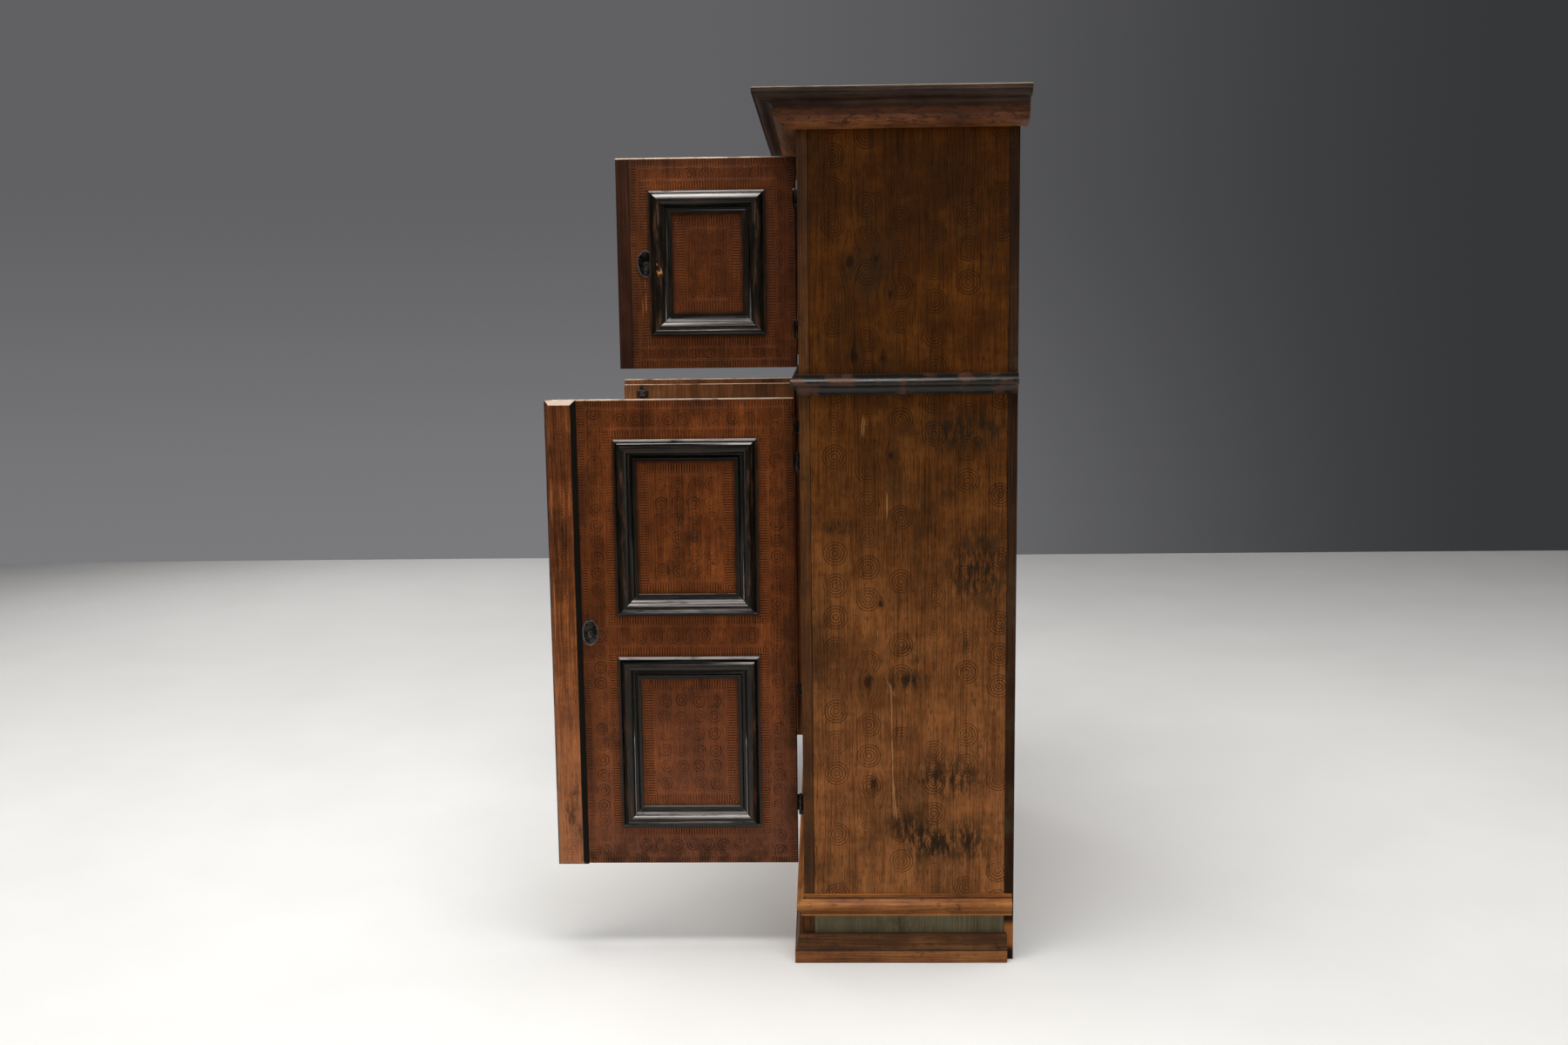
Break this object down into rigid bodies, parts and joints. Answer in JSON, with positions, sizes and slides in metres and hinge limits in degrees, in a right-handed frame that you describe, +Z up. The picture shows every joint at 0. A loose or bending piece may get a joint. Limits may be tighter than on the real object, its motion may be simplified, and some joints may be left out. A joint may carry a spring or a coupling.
{
  "type": "cupboard",
  "caption": "Tall two-stage painted cupboard with hinged panelled doors above and below, a moulded cornice, waist and base, iron strap hinges, box locks and slide bolts.",
  "frame": {"origin": "on the floor, at the middle of the back boards' outer face", "axes": "+Z up, +Y towards the wall behind it, +X to the right seen from the front"},
  "size_m": [1.38, 1.0374, 1.89],
  "materials": {
    "painted_wood": "satin combed paint",
    "ebonised_moulding": "worn satin black",
    "moulding_wood": "worn satin",
    "stained_softwood": "rubbed matt",
    "raw_softwood": "bare",
    "wrought_iron": "dark forged"
  },
  "bodies": {
    "carcass": {"back_boards": "raw_softwood", "base_moulding_front": "moulding_wood", "base_moulding_left": "moulding_wood", "base_moulding_right": "moulding_wood", "bottom_board": "raw_softwood", "bottom_rail": "painted_wood", "centre_panel": "painted_wood", "centre_panel_frame": "ebonised_moulding", "cornice_bed_front": "moulding_wood", "cornice_bed_left": "moulding_wood", "cornice_bed_right": "moulding_wood", "cornice_crown_front": "moulding_wood", "cornice_crown_left": "moulding_wood", "cornice_crown_right": "moulding_wood", "lower_pintles": "wrought_iron", "lower_shelves": "raw_softwood", "middle_board": "raw_softwood", "plinth_front": "moulding_wood", "plinth_left": "moulding_wood", "plinth_right": "moulding_wood", "shelf_battens": "raw_softwood", "side_left": "stained_softwood", "side_right": "stained_softwood", "stile_left": "painted_wood", "stile_right": "painted_wood", "top_board": "raw_softwood", "top_rail": "painted_wood", "upper_pintles": "wrought_iron", "upper_shelf": "raw_softwood", "waist_moulding_front": "ebonised_moulding", "waist_moulding_left": "ebonised_moulding", "waist_moulding_right": "ebonised_moulding", "waist_rail": "painted_wood"},
    "lower_right_door": {"lower_right_astragal": "ebonised_moulding", "lower_right_escutcheon": "wrought_iron", "lower_right_high_panel_frame": "ebonised_moulding", "lower_right_leaf": "painted_wood", "lower_right_lock_case": "wrought_iron", "lower_right_low_panel_frame": "ebonised_moulding", "lower_right_straps": "wrought_iron"},
    "lower_right_lock": {"lower_right_lock_bolt": "wrought_iron"},
    "lower_left_door": {"lower_left_high_panel_frame": "ebonised_moulding", "lower_left_leaf": "painted_wood", "lower_left_low_panel_frame": "ebonised_moulding", "lower_left_staples": "wrought_iron", "lower_left_straps": "wrought_iron"},
    "lower_left_top_slide": {"lower_left_top_bolt": "wrought_iron"},
    "lower_left_bottom_slide": {"lower_left_bottom_bolt": "wrought_iron"},
    "upper_right_door": {"upper_right_escutcheon": "wrought_iron", "upper_right_leaf": "painted_wood", "upper_right_lock_case": "wrought_iron", "upper_right_panel_frame": "ebonised_moulding", "upper_right_straps": "wrought_iron"},
    "upper_right_lock": {"upper_right_lock_bolt": "wrought_iron"},
    "upper_left_door": {"upper_left_escutcheon": "wrought_iron", "upper_left_leaf": "painted_wood", "upper_left_lock_case": "wrought_iron", "upper_left_panel_frame": "ebonised_moulding", "upper_left_straps": "wrought_iron"},
    "upper_left_lock": {"upper_left_lock_bolt": "wrought_iron"}
  },
  "joints": [
    {"name": "lower_right_swing", "type": "hinge", "parent": "carcass", "child": "lower_right_door", "pos_m": [0.525, -0.4714, 0], "axis": [0, 0, 1], "range_deg": [-90, 75]},
    {"name": "lower_left_swing", "type": "hinge", "parent": "carcass", "child": "lower_left_door", "pos_m": [-0.525, -0.4714, 0], "axis": [0, 0, -1], "range_deg": [-90, 75]},
    {"name": "upper_right_swing", "type": "hinge", "parent": "carcass", "child": "upper_right_door", "pos_m": [0.5235, -0.4699, 0], "axis": [0, 0, 1], "range_deg": [-90, 30]},
    {"name": "upper_left_swing", "type": "hinge", "parent": "carcass", "child": "upper_left_door", "pos_m": [-0.5235, -0.4699, 0], "axis": [0, 0, -1], "range_deg": [-90, 30]},
    {"name": "lower_right_lock_throw", "type": "slide", "parent": "lower_right_door", "child": "lower_right_lock", "axis": [0, -1, 0], "range_m": [0, 0.018]},
    {"name": "upper_right_lock_throw", "type": "slide", "parent": "upper_right_door", "child": "upper_right_lock", "axis": [0, -1, 0], "range_m": [0, 0.018]},
    {"name": "upper_left_lock_throw", "type": "slide", "parent": "upper_left_door", "child": "upper_left_lock", "axis": [0, -1, 0], "range_m": [0, 0.018]},
    {"name": "lower_left_top_throw", "type": "slide", "parent": "lower_left_door", "child": "lower_left_top_slide", "axis": [0, 0, 1], "range_m": [0, 0.018]},
    {"name": "lower_left_bottom_throw", "type": "slide", "parent": "lower_left_door", "child": "lower_left_bottom_slide", "axis": [0, 0, -1], "range_m": [0, 0.018]}
  ]
}
